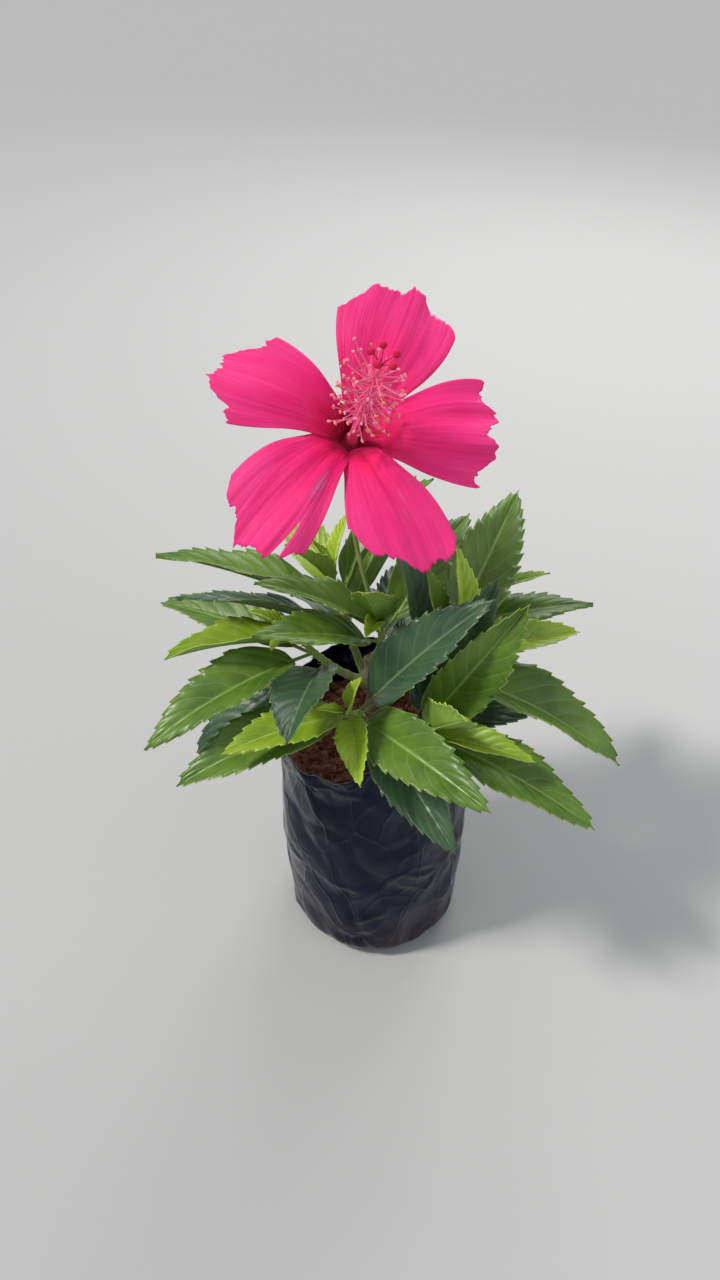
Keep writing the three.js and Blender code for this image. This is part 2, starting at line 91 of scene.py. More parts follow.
leaf = Sizes(
    width=0.38, outline=(0.62, 1.12), tip_width=0.012, toothed=(0.2, 0.3), tooth=0.08,
    oldest=0.82, grown=0.35, youngest=0.2, incline=(60, 24), petiole=(0.2, 0.07),
    fold=(20, 38), bend=(0.5, 0.18), straightest=0.08, skyward=0.8,
    vary=Sizes(length=0.06, turn=8, incline=6, roll=16, fold=7, bend=0.3),
)
side_veins = 8
vein_sweep = 0.27
ageing = Sizes(size=1.05, place=0.85, incline=1.15)
clearance = Sizes(blade=4.6, own_blade=3.2, limb=2.6, petal=7, bag=9, lowest=70)
tries = Sizes(
    shrinks=(1, 0.8, 0.64),
    tilts=(0, 9, -9, 18, -18, 27, -27),
    turns=(0, 12, -12, 24, -24, 36, -36, 48, -48, 60, -60, 72, -72),
)
bloom = Sizes(foot=(-11.8, 27, soil_top + 153.2), bearing=8, elevation=46)
petals = table(
    "name angle length lean swing wide corner",
    ("petal_top", 69, 1.05, -0.12, 0, 0.86, 0.15),
    ("petal_right", -1, 1, 0, 0, 0.76, 0.08),
    ("petal_low_right", -73, 1.05, 0.28, 0.12, 0.68, 0.14),
    ("petal_low_left", -143, 1.07, -0.05, 0.17, 0.76, 0.14),
    ("petal_left", 148, 1.02, -0.05, 0.16, 0.74, 0.17),
)
petal = Sizes(
    rise=[(3.75, 0.8), (6, 19), (22, 31), (57, 23)], spread=(0.62, 0.98, -1.1),
    widening=(0.1, 0.6), lap=1.3, lapping=(0.03, 0.2), arch=3.2, roll=0.08, ripple=1.9, notch=0.02,
    thick=0.3, room=0.8,
)
tear = Sizes(petal=3, at=0.6, depth=0.2, width=0.05)
column = Sizes(length=64, radius=(1.7, 1), swell=1.3, straight=0.55, rise=10, sideways=5, foot=1.7)
stamens = Sizes(count=92, along=(0.4, 0.93), turn=137.5, length=11.5, lift=0.3, filament=0.25, anther=1)
styles = Sizes(count=5, turn=20, length=9, splay=34, radius=0.36, stigma=1.4)
calyx = Sizes(
    base=-4, mouth=15, teeth=5, tooth=4.5, flare=0.3, wall=0.8, room=0.5, sides=16,
    rings=(0.5, 4, 8, 11.5, 15),
)
bracts = Sizes(count=7, turn=18, foot=(2.2, -3.2), tip=(13.5, 6.5), radius=(0.9, 0.12))
stalk = Sizes(start=0.8, radius=(1.15, 1.7), bow=(-12, 12, 24), tail=18, drift=-3)

# Sizes of the looks alone
crumbs = Sizes(tries=1900, size=(0.6, 2.6), rarity=2.6, ring=(5.5, 43.5), kinds=(0.62, 0.3, 0.08))
old_rings = (9, 15.5, 21.5, 26, 29.5, 33, 36, 38, 42.5)
leaf_thick = 0.32
calyx_thick = 0.45
leaf_grades = (0.2, 0.5, 0.78)
anther_kinds = (0.7, 0.3)


class Spot(tuple):
    """A point or a direction in full precision, as in the source."""

    __slots__ = ()
    x, y, z = (property(itemgetter(axis)) for axis in range(3))

    def __new__(cls, x, y, z=0.0):
        return tuple.__new__(cls, (x, y, z))

    def __add__(self, other):
        return Spot(*map(add, self, other))

    def __sub__(self, other):
        return Spot(*map(sub, self, other))

    def __mul__(self, size):
        return Spot(self[0] * size, self[1] * size, self[2] * size)

    def __neg__(self):
        return self * -1

    def dot(self, other):
        return sum(map(mul, self, other))

    def cross(self, other):
        (a, b, c), (d, e, f) = self, other
        return Spot(b * f - c * e, c * d - a * f, a * e - b * d)

    def normalized(self):
        return self * (1 / sqrt(self.dot(self)))

    def lerp(self, other, share):
        return self + (other - self) * share


# Small helpers
def mix(first, last, share):
    return first + (last - first) * share


def between(pair, share):
    return mix(*pair, share)


def smooth(value, low, high):
    share = min(1, max(0, (value - low) / (high - low)))
    return share * share * (3 - 2 * share)


def bump(value, at, width):
    """A soft bump that is 1 high at its place."""
    return exp(-(((value - at) / width) ** 2))


def waves(parts, angle):
    return sum(size * sin(count * angle + phase) for size, count, phase in parts)


def around(angle, size=1, height=0):
    """A point at an angle in radians round the upright axis."""
    return Spot(cos(angle) * size, sin(angle) * size, height)


def polar(angle, size=1, height=0):
    return around(radians(angle), size, height)


def turned(first, second, angle):
    """A unit vector turned by radians towards another that is square to it."""
    return first * cos(angle) + second * sin(angle)


def squared(vector, unit):
    """The direction of a vector's share that is square to a unit vector."""
    return (vector - unit * vector.dot(unit)).normalized()


def scatter(index, salt):
    """A repeatable number from -1 to 1."""
    wave = sin(index * 12.9898 + salt * 78.233) * 43758.5453
    return 2 * (wave - floor(wave)) - 1


def bezier(points, t):
    """A point on the curve with these control points."""
    while len(points) > 1:
        points = [first.lerp(last, t) for first, last in zip(points, points[1:])]
    return points[0]


def heading(points, t):
    """The curve's unit tangent."""
    return bezier([last - first for first, last in zip(points, points[1:])], t).normalized()


# Making meshes
def fresh():
    """An empty mesh in the making, with a map for its patterns."""
    bm = bmesh.new()
    bm.loops.layers.uv.new("surface")
    return bm


def faced(verts, finish, is_smooth=True):
    """The faces of these vertices, once they have their finish."""
    faces = {face for vert in verts for face in vert.link_faces}
    for face in faces:
        face.material_index = finish
        face.smooth = is_smooth
    return faces


def grid(bm, along, across, place, finish=0, wrapped=False):
    """A sheet of faces. place gives each vertex's point and its spot on the map."""
    layer = bm.loops.layers.uv["surface"]
    verts = bmesh.ops.create_grid(bm, x_segments=along, y_segments=across, size=0.5)["verts"]
    spots = {}
    for vert in verts:
        step = round((vert.co.x + 0.5) * along)
        row = round((vert.co.y + 0.5) * across)
        vert.co, spots[vert] = place(step, row)
    for face in faced(verts, finish):
        for loop in face.loops:
            loop[layer].uv = spots[loop.vert]
    if wrapped:
        bmesh.ops.remove_doubles(bm, verts=verts, dist=0.002)


def tube(bm, points, radius_at, sides, steps, stretch=(0, 1), finish=0):
    """A closed limb along a curve. radius_at takes the share along it and the angle."""
    ahead = heading(points, stretch[0])
    side = squared(Spot(1, 0, 0) if abs(ahead.x) < 0.8 else Spot(0, 1, 0), ahead)
    frames = []
    for step in range(steps + 1):
        t = between(stretch, step / steps)
        ahead = heading(points, t)
        side = squared(side, ahead)
        frames.append((bezier(points, t), side, ahead.cross(side)))

    def place(step, row):
        share = min(1, max(0, (step - 1) / steps))
        centre, side, other = frames[round(share * steps)]
        angle = -TURN * row / sides
        radius = 0 if step in (0, steps + 2) else radius_at(share, angle)
        return centre + turned(side, other, angle) * radius, (share, row / sides)

    grid(bm, steps + 2, sides, place, finish, wrapped=True)


def lathe(bm, rings, sides, place):
    """A turned shape. place takes a step along its profile and the angle."""

    def put(step, row):
        return place(step, TURN * row / sides), (step / rings, row / sides)

    grid(bm, rings, sides, put, wrapped=True)


def ball(bm, levels, size, place, moved, finish=0, is_smooth=True):
    """A ball in its place, with each vertex moved by what a function gives."""
    verts = bmesh.ops.create_icosphere(bm, subdivisions=levels, radius=size, matrix=place)["verts"]
    for vert in verts:
        vert.co += moved(vert.co)
    faced(verts, finish, is_smooth)


def linked(name, data):
    made = bpy.data.objects.new(name, data)
    bpy.context.scene.collection.objects.link(made)
    return made


def made_piece(name, bm, finishes, solid, place=Matrix()):
    """Turns a mesh into a piece in metres and in its place, which stands for a solid."""
    bmesh.ops.transform(bm, matrix=Matrix.Scale(METRES, 4) @ place, verts=bm.verts)
    mesh = bpy.data.meshes.new(name)
    bm.to_mesh(mesh)
    bm.free()
    for finish in finishes:
        mesh.materials.append(finish)
    made = linked(name, mesh)
    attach(made, "root")
    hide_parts(solid)
    return made


def thicken(made, thickness, offset=0, under=0, rim=0):
    """Gives a sheet its thickness, with finishes for its far side and rim."""
    shell = made.modifiers.new("thickness", "SOLIDIFY")
    shell.thickness = thickness * METRES
    shell.offset = offset
    shell.material_offset = under
    shell.material_offset_rim = rim


# Shader helpers
def feed(made, inputs):
    """Sets a node's inputs, each to a plain value or to a socket."""
    for key, value in inputs.items():
        if isinstance(value, bpy.types.NodeSocket):
            made.id_data.links.new(value, made.inputs[key])
        else:
            made.inputs[key].default_value = value
    return made


def node(tree, kind, inputs, **settings):
    """The outputs of a new shader node."""
    made = tree.nodes.new(kind)
    for key, value in settings.items():
        setattr(made, key, value)
    return feed(made, inputs).outputs


def maths(operation, *values):
    return node(values[0].id_data, "ShaderNodeMath", dict(enumerate(values)), operation=operation)[0]


def times(value, size, shift=0):
    """A value times a size, moved by a shift."""
    return maths("MULTIPLY_ADD", value, size, shift)


def ramp(value, low, high, to=(0, 1)):
    """Runs a value smoothly from one number to another as it goes from low to high."""
    inputs = {"Value": value, "From Min": low, "From Max": high, "To Min": to[0], "To Max": to[1]}
    return node(value.id_data, "ShaderNodeMapRange", inputs, interpolation_type="SMOOTHSTEP")[0]


def blend(share, first, second):
    """Goes from one colour to another, each a socket or red, green and blue."""
    inputs = {0: share}
    for key, colour in ((6, first), (7, second)):
        inputs[key] = colour if isinstance(colour, bpy.types.NodeSocket) else (*colour, 1)
    return node(share.id_data, "ShaderNodeMix", inputs, data_type="RGBA")[2]


def split(place):
    return node(place.id_data, "ShaderNodeSeparateXYZ", {0: place})


def joined(first, second):
    return node(first.id_data, "ShaderNodeCombineXYZ", {0: first, 1: second})[0]


def clouds(place, scale, detail, rough=0.5):
    inputs = {"Vector": place, "Scale": scale, "Detail": detail, "Roughness": rough}
    return node(place.id_data, "ShaderNodeTexNoise", inputs)


def cells(place, scale, feature="DISTANCE_TO_EDGE"):
    inputs = {"Vector": place, "Scale": scale}
    return node(place.id_data, "ShaderNodeTexVoronoi", inputs, feature=feature)[0]


def group(name, numbers, outputs):
    """What an empty shader group is given, with a place first, and its output node."""
    tree = bpy.data.node_groups.new(name, "ShaderNodeTree")
    tree.interface.new_socket("Place", in_out="INPUT", socket_type="NodeSocketVector")
    for in_out, labels in (("INPUT", numbers), ("OUTPUT", outputs)):
        for label in labels:
            tree.interface.new_socket(label, in_out=in_out, socket_type="NodeSocketFloat")
    return tree.nodes.new("NodeGroupInput").outputs, tree.nodes.new("NodeGroupOutput")


def material(name, **constants):
    """A new material with these numbers in its shader, and its nodes."""
    made = bpy.data.materials.new(name)
    made.use_nodes = True
    shader = made.node_tree.nodes["Principled BSDF"]
    for label, value in constants.items():
        shader.inputs[label.replace("_", " ")].default_value = value
    return made, made.node_tree


def object_place(tree):
    return node(tree, "ShaderNodeTexCoord", {})["Object"]


def surface_place(tree):
    return node(tree, "ShaderNodeUVMap", {}, uv_map="surface")[0]


def finish_with(made, colour, roughness, height, strength, depth):
    """Gives a material its colour, roughness and relief, of a depth in millimetres."""
    inputs = {"Height": height, "Strength": strength, "Distance": depth * METRES}
    relief = node(made.node_tree, "ShaderNodeBump", inputs)[0]
    shader = made.node_tree.nodes["Principled BSDF"]
    feed(shader, {"Base Color": colour, "Roughness": roughness, "Normal": relief})
    return made


# Shared effects
def mottle_group():
    """Clouds and a finer grain, at a size in patches for each metre."""
    given, out = group("mottle", ["Size"], ["Cloud", "Grain"])
    place, size = given["Place"], given["Size"]
    cloud = clouds(place, size, 3, 0.6)[0]
    grain = clouds(place, times(size, 9), 2)[0]
    return feed(out, {"Cloud": ramp(cloud, 0.3, 0.7), "Grain": ramp(grain, 0.3, 0.7)}).id_data


def streaks_group():
    """Streaks along the first direction of a surface's map."""
    given, out = group("streaks", ["Count"], ["Streak"])
    along, across, _ = split(given["Place"])
    place = joined(times(along, 1.6), times(across, given["Count"]))
    return feed(out, {"Streak": ramp(clouds(place, 1, 2)[0], 0.32, 0.68)}).id_data


def veins_group():
    """A leaf's midrib, side veins, net and margin as masks, and their relief."""
    given, out = group("leaf veins", [], ["Rib", "Vein", "Net", "Margin", "Relief"])
    along, across, _ = split(given["Place"])
    aside = maths("ABSOLUTE", times(across, 2, -1))
    swept = times(maths("POWER", aside, 1.25), vein_sweep)
    straying = times(clouds(given["Place"], 2.5, 1)[0], 0.09, along)
    phase = times(maths("SUBTRACT", straying, swept), side_veins)
    off = maths("ABSOLUTE", maths("SUBTRACT", maths("FRACT", phase), 0.5))
    line, fading = ramp(off, 0.012, 0.06, (1, 0)), ramp(aside, 0.7, 0.97, (1, 0))
    net = cells(joined(times(along, 46), times(across, 22)), 5)
    masks = {
        "Rib": ramp(aside, 0.02, 0.06, (1, 0)),
        "Vein": times(line, fading),
        "Net": ramp(net, 0, 0.12, (1, 0)),
        "Margin": ramp(aside, 0.95, 1),
        "Relief": ramp(off, 0, 0.4),
    }
    return feed(out, masks).id_data


mottle = mottle_group()
streaks = streaks_group()
veins = veins_group()


def mottled(tree, size):
    inputs = {"Place": object_place(tree), "Size": size}
    return node(tree, "ShaderNodeGroup", inputs, node_tree=mottle)


def streaked(tree, count):
    inputs = {"Place": surface_place(tree), "Count": count}
    return node(tree, "ShaderNodeGroup", inputs, node_tree=streaks)[0]


# Finishes
def film_finish():
    """Blue-black film, dusty near the ground, with crinkles too fine for the mesh."""
    made, tree = material("bag film", Specular_IOR_Level=0.2, Specular_Tint=(0.62, 0.72, 1, 1))
    place = object_place(tree)
    cloud = mottled(tree, 26)["Cloud"]
    dust = times(ramp(split(place)[2], 0, 0.045, (0.4, 0.05)), cloud)
    black = blend(cloud, (0.001, 0.002, 0.009), (0.002, 0.005, 0.021))
    colour = blend(dust, black, (0.07, 0.03, 0.02))
    facets = {0: place, 1: (52, 52, 24), 2: clouds(place, 30, 1)[1]}
    apart = cells(node(tree, "ShaderNodeVectorMath", facets, operation="MULTIPLY_ADD")[0], 1)
    height = times(apart, -0.8, ramp(apart, 0, 0.06, (0.12, 0)))
    return finish_with(made, colour, times(cloud, 0.12, 0.12), height, 1, 1.3)


def grainy_finish(name, dark, light, specular=0.25, size=160, rough=(-0.12, 1), strength=0.8, depth=0.6):
    """Earth or cut wood: two colours in clouds, and a grain that stands up."""
    made, tree = material(name, Specular_IOR_Level=specular)
    patches = mottled(tree, size)
    colour = blend(patches["Cloud"], dark, light)
    return finish_with(made, colour, times(patches["Grain"], *rough), patches["Grain"], strength, depth)


def bark_finish():
    """Tan bark in lengthwise streaks, with grey patches and pale dots."""
    made, tree = material("bark", Specular_IOR_Level=0.3)
    patches, lines = mottled(tree, 130), streaked(tree, 26)
    dots = cells(object_place(tree), 420, "F1")
    colour = blend(lines, (0.13, 0.08, 0.048), (0.34, 0.245, 0.165))
    colour = blend(times(patches["Cloud"], 0.45), colour, (0.3, 0.27, 0.2))
    colour = blend(ramp(dots, 0.12, 0.2, (0.55, 0)), colour, (0.5, 0.41, 0.3))
    height = times(patches["Grain"], 0.5, lines)
    return finish_with(made, colour, times(lines, 0.15, 0.7), height, 0.6, 0.35)


def shoot_finish(name, foot, tip, turning):
    """A shoot's skin, which turns from its foot's colour to its tip's."""
    made, tree = material(name, Specular_IOR_Level=0.45)
    patches, lines = mottled(tree, 150), streaked(tree, 18)
    uneven = times(patches["Cloud"], 0.25, split(surface_place(tree))[0])
    colour = blend(ramp(uneven, *turning), foot, tip)
    colour = blend(times(lines, 0.25, 0.05), colour, [0.55 * part for part in tip])
    return finish_with(made, colour, times(patches["Grain"], 0.12, 0.42), lines, 0.4, 0.2)


def leaf_finish(name, deep, light, vein, margin, roughness=0.55):
    """One face of a leaf, with paler veins, net and margin."""
    made, tree = material(name, Specular_IOR_Level=0.5)
    masks = node(tree, "ShaderNodeGroup", {"Place": surface_place(tree)}, node_tree=veins)
    patches = mottled(tree, 55)
    lines = maths("MAXIMUM", masks["Rib"], times(masks["Vein"], 0.42))
    colour = blend(patches["Cloud"], deep, light)
    colour = blend(times(masks["Net"], 0.09), colour, vein)
    colour = blend(times(lines, 0.85), colour, vein)
    colour = blend(times(masks["Margin"], 0.6), colour, margin)
    rough = times(patches["Grain"], 0.07, roughness - 0.02)
    return finish_with(made, colour, rough, masks["Relief"], 0.42, 0.5)


def petal_finish(name, bruises=()):
    """A petal: lighter at its very foot, a painted light against the shade deep in the funnel, then dark at
    the throat, then red and pinker outwards, with fine lines.
    """
    made, tree = material(
        name, Specular_IOR_Level=0.14, Sheen_Weight=0.08, Sheen_Roughness=0.4, Sheen_Tint=(1, 0.35, 0.6, 1),
        Subsurface_Weight=0.15, Subsurface_Scale=0.0015, Subsurface_Radius=(1, 0.15, 0.3),
    )
    along, across, _ = split(surface_place(tree))
    fine, broad = streaked(tree, 90), streaked(tree, 22)
    reach = times(maths("SUBTRACT", broad, 0.5), 0.1, along)
    paled = times(maths("ABSOLUTE", times(across, 2, -1)), 0.16, reach)
    layers = [
        # From the painted-light foot to the throat's own dark crimson.
        (ramp(reach, 0.08, 0.22), (0.27, 0.001, 0.03)),
        (ramp(times(fine, -0.1, reach), 0.19, 0.4), (0.95, 0.001, 0.115)),
        (ramp(paled, 0.32, 0.66), (0.86, 0.016, 0.175)),
        (ramp(paled, 0.6, 1.15, (0, 0.75)), (0.9, 0.05, 0.27)),
        (times(fine, 0.2), (0.66, 0.001, 0.065)),
        (times(mottled(tree, 60)["Cloud"], 0.2), (0.9, 0.09, 0.27)),
    ]
    slender = 2.6
    stretched = joined(along, times(across, slender))
    for u, v, size in bruises:
        ends = {0: stretched, 1: (u, v * slender, 0)}
        away = node(tree, "ShaderNodeVectorMath", ends, operation="DISTANCE")[1]
        layers.append((ramp(times(fine, 0.05, away), size * 0.3, size, (0.62, 0)), (0.4, 0.16, 0.36)))
    # The starting colour at the very foot is painted light: lighter than the throat's dark crimson, to lift
    # the shade deep in the funnel.
    colour = (0.55, 0.002, 0.06)
    for share, tint in layers:
        colour = blend(share, colour, tint)
    return finish_with(made, colour, times(fine, 0.12, 0.42), maths("ADD", fine, broad), 0.5, 0.25)


def soft_finish(name, dark, light, roughness=0.5, count=14):
    """A plain soft skin with faint lines, as on filaments and the calyx."""
    made, tree = material(name, Specular_IOR_Level=0.35)
    lines, patches = streaked(tree, count), mottled(tree, 400)
    colour = blend(times(lines, 0.5, times(patches["Cloud"], 0.5)), dark, light)
    return finish_with(made, colour, times(patches["Grain"], 0.12, roughness), lines, 0.35, 0.15)


# Camera, so that the view is settled first
def add_camera():
    data = bpy.data.cameras.new("camera")
    data.sensor_width = sensor
    data.lens = sensor * focal_pixels / frame_height_pixels
    data.clip_start = 0.01
    made = linked("camera", data)
    made.location = camera_at
    made.rotation_euler = (radians(90 - camera_pitch), 0, 0)
    bpy.context.scene.camera = made


# The bag
def wall_radius(height):
    """The bag's plain outline: a rounded foot, a slight crown, an open collar."""
    if height < bag.round:
        drop = 1 - height / bag.round
        return mix(bag.foot, bag.radius, sqrt(1 - drop * drop))
    low, high = bag.crowned
    crown = bag.crown * sin(pi * min(1, (height - low) / (high - low)))
    return bag.radius + crown + 2 * smooth(height, high, bag.height + 4)


def wall_shift(angle, height):
    body = waves(bag.body, angle) * smooth(height, *bag.creased)
    return body + waves(bag.collar, angle) * smooth(height, soil_top, bag.height)


def ridged(*place):
    """A sharp crease: 0 where the noise is 0, and 1 well away from there."""
    return min(1, abs(noise(place)) * 3.2)


def film_crease(angle, height):
    """How far folds and dents draw the film in, below 0, and its ridges raise it."""
    x, y, _ = around(angle, bag.radius)
    folds = ridged(x / 30, y / 30, height / 70 + x / 90)
    slants = ridged(x / 24 + 7, y / 24, height / 26)
    dents = noise((x / 16 + 5, y / 16, height / 20))
    puckers = ridged(x / 7, y / 7 + 3, height / 22)
    free = smooth(height, soil_top - 8, soil_top + 8)
    size = 1.7 * (1 - folds) + 0.9 * (1 - slants) + 0.8 * (0.5 + dents) + 0.6 * free * (1 - puckers)
    stray = [0.5 * noise((x / 33 + off, y / 33, height / 33)) for off in (9, 0, 6)]
    nearest, next_one = voronoi(Vector((x / 48, y / 48, height / 80)) + Vector(stray))[0][:2]
    apart = next_one - nearest
    ridges = 1.5 * (1 - min(1, apart)) + 0.5 * (1 - smooth(apart, 0, 0.14))
    return (ridges - size * (0.7 + 0.5 * free)) * smooth(height, 0, 12)


def bag_point(radius, height, angle):
    above = max(0, height - soil_top) / (bag.height - soil_top)
    out = radius + (wall_shift(angle, height) + film_crease(angle, height)) * smooth(radius, 12, 37)
    rim = waves(bag.rim, angle) + 1.2 * noise(around(angle, 6))
    return around(angle, out, height + rim * above)


def add_bag():
    """The film bag, from the middle of its underside out and up to its rim."""
    under, up, sides = 8, 112, 240

    def place(step, angle):
        if step <= under:
            return bag_point(bag.foot * step / under, 0, angle)
        height = bag.height * (step - under) / up
        return bag_point(wall_radius(height), height, angle)

    bm = fresh()
    lathe(bm, under + up, sides, place)
    bmesh.ops.reverse_faces(bm, faces=bm.faces)
    # The film's rim faces get a paler grey than the black film: a painted highlight for the gleam along the
    # cut edge.
    edge = soft_finish("film edge", (0.1, 0.11, 0.14), (0.32, 0.34, 0.4), 0.3)
    made = made_piece("film_bag", bm, [film_finish(), edge], "nursery_bag")
    thicken(made, bag.film, offset=-1, rim=1)


# The soil
def soil_height(x, y):
    """The soil's top: swells, crumbs and lumps, sunk a little at the film."""
    out = hypot(x, y)
    swell = soil.swell * sin(x / 9 + 1) * cos(y / 8 + 2)
    crumble = soil.crumble * sin(x / 4 + y / 5)
    level = (swell + crumble) * smooth(out, *soil.level) - soil.sunk_edge * smooth(out, *soil.edge)
    lumps = noise((x / 5, y / 5, 0)) + 0.5 * noise((x / 2, y / 2, 4))
    return soil_top + level + 1.1 * lumps * smooth(out, stem.radius[0], 9)


def add_soil(earth):
    top, side, sides = 56, 10, 180
    hidden = 6

    def place(step, angle):
        edge = bag_point(wall_radius(soil_top), soil_top, angle)
        rim = hypot(edge.x, edge.y) - bag.film - 0.6
        if step <= top:
            x, y, _ = around(angle, rim * step / top)
            return Spot(x, y, soil_height(x, y))
        height = mix(soil_top - 6, hidden, min(1, (step - top) / side))
        return around(angle, 0 if step > top + side else wall_radius(height) - hidden, height)

    bm = fresh()
    lathe(bm, top + side + 1, sides, place)
    bmesh.ops.recalc_face_normals(bm, faces=bm.faces)
    made_piece("soil_body", bm, earth[:1], "soil")


def add_crumbs(earth):
    chance = Random(11)
    draw = chance.random
    pale = 2
    bm = fresh()
    for _ in range(crumbs.tries):
        size = between(crumbs.size, draw() ** crumbs.rarity)
        angle, out = draw() * 360, 45 * sqrt(draw())
        x, y, _ = polar(angle, out)
        if out < crumbs.ring[0] or out + size > crumbs.ring[1] - size:
            continue
        kind = chance.choices((0, 1, pale), crumbs.kinds)[0]
        size *= 0.7 if kind == pale else 1
        place = Matrix.Translation((x, y, soil_height(x, y) + size / 4))
        spin = Matrix.Rotation(draw() * TURN, 4, (draw(), draw(), 0.3))
        stretch = Matrix.Diagonal((1, 0.7 + 0.3 * draw(), 0.6 + 0.3 * draw(), 1))
        levels = 2 if size > 1.1 else 1
        rough = size * 0.3
        ball(
            bm, levels, size, place @ spin @ stretch,
            lambda _: Vector((draw(), draw(), draw())) * rough, kind, is_smooth=False,
        )
    made_piece("soil_crumbs", bm, earth, "soil")


# The woody cutting
stem_foot = Spot(0, 0, soil_top + seat_gap)
stem_middle = stem_foot + Spot(0, 0, stem.height / 2)
stem_spine = [stem_foot, stem_middle, stem_foot + Spot(*stem.lean, stem.height)]


def stem_radius(share):
    return between(stem.radius, share) + stem.flare * (1 - smooth(share, 0, stem.flared_to))


def bark_relief(at):
    """Lengthwise cracks and small lumps of bark, in millimetres."""
    cracks = ridged(at.x / 1.3, at.y / 1.3, at.z / 9)
    lumps = noise((at.x / 2.4, at.y / 2.4, at.z / 3))
    return 0.3 * (cracks - 0.7) + 0.22 * lumps


def add_stem():
    """The cutting: a bark tube with the rings of old leaves, sawn off aslant at its top."""

    def radius(share, angle):
        plain = stem_radius(share)
        swollen = sum(bump(share * stem.height, ring, 0.9) for ring in old_rings)
        return plain + bark_relief(bezier(stem_spine, share) + around(angle, plain)) + 0.28 * swollen

    bm = fresh()
    tube(bm, [stem_foot - Spot(0, 0, 3), *stem_spine[1:]], radius, 80, 150)
    slope = radians(stem.cut_slope)
    facing = Spot(0, -sin(slope), cos(slope))
    top = stem_spine[-1] - Spot(0, 0, stem.radius[1] / 2)
    everything = [*bm.verts, *bm.edges, *bm.faces]
    bmesh.ops.bisect_plane(bm, geom=everything, plane_co=top, plane_no=facing, clear_outer=True)
    open_edges = [edge for edge in bm.edges if edge.is_boundary]
    cap = bmesh.ops.contextual_create(bm, geom=open_edges)["faces"]
    bmesh.ops.inset_region(bm, faces=cap, thickness=0.45, depth=-0.15)
    for face in cap:
        face.material_index = 1
        face.smooth = False
    for thickness, depth in ((1.5, 0), (0.25, -0.3)):
        bmesh.ops.inset_region(bm, faces=cap, thickness=thickness, depth=depth)
    cut = grainy_finish("cut wood", (0.36, 0.25, 0.15), (0.56, 0.43, 0.28), 0.3, 500, (0.1, 0.8), 0.5, 0.2)
    made_piece("stem_bark", bm, [bark_finish(), cut], "woody_stem")


# The shoots
for shoot in shoots:
    start = bezier(stem_spine, shoot.start / stem.height)
    knee = polar(shoot.toward, shoot.kick, shoot.up * twig.sag)
    shoot.spine = [start, start + knee, start + polar(shoot.toward, shoot.out, shoot.up)]

# The bloom's frame
lift = radians(bloom.elevation)
bloom_axis = polar(bloom.bearing - 90, cos(lift), sin(lift))
bloom_right = squared(Spot(1, 0, 0), bloom_axis)
bloom_up = bloom_axis.cross(bloom_right)
bloom_place = Matrix((bloom_right, bloom_up, bloom_axis)).transposed().to_4x4()
bloom_place.translation = bloom.foot


def in_bloom(at, angle=0):
    """A point of the bloom's own frame, spun round its axis, in the part's frame."""
    spun = polar(angle) * at.x + polar(angle + 90) * at.y
    return bloom_right * spun.x + bloom_up * spun.y + bloom_axis * at.z + bloom.foot


petal_rise = [Spot(*point) for point in petal.rise]
across_petal = (-1, -0.5, 0, 0.5, 1)


def petal_reach(index, u, v, ragged=0.0):
    """How far along its full length a petal reaches at a spot."""
    form = petals[index]
    torn = tear.depth * bump(v, tear.at, tear.width) if index == tear.petal else 0
    notch = petal.notch * sin(9 * v + 2 * index) * smooth(u, 0.6, 1)
    return u * (form.length - form.corner * (v - form.lean) ** 2 - torn - notch - ragged)


def petal_point(index, t, v, fuller=0.0, lapped=1.0):
    """A spot on a petal, x straight out from the bloom's axis. Its throat may be fuller and less lapped."""
    form = petals[index]
    x, y, _ = bezier(petal_rise, t)
    ahead = heading(petal_rise, min(1, max(0, t)))
    first, second, third = petal.spread
    spread = first + second * t + third * t * t + fuller * (1 - smooth(t, 0.12, 0.5))
    half = x * spread * mix(1, form.wide, smooth(t, *petal.widening))
    lap = petal.lap * lapped * v * smooth(t, *petal.lapping)
    wave = petal.ripple * t**3 * sin(4.4 * v + 1.7 * index)
    height = y - petal.arch * v * v * t * t + petal.roll * half * v + wave
    return Spot(x - ahead.y * lap, half * v + form.swing * x * t, height + ahead.x * lap)


# The flower's stalk
stalk_end = in_bloom(Spot(0, 0, calyx.base - seat_gap))
stalk_start = bezier(shoots[0].spine, stalk.start)
stalk_tail = stalk_end - bloom_axis * stalk.tail + Spot(stalk.drift, 0, 0)
stalk_spine = [stalk_start, stalk_start + stalk.bow, stalk_tail, stalk_end]


# Where the leaves grow
def leaf_length(shoot, youth):
    if youth < leaf.grown:
        return shoot.blade * mix(leaf.oldest, 1, youth / leaf.grown)
    past = (youth - leaf.grown) / (1 - leaf.grown)
    return shoot.blade * mix(1, leaf.youngest, past**ageing.size)


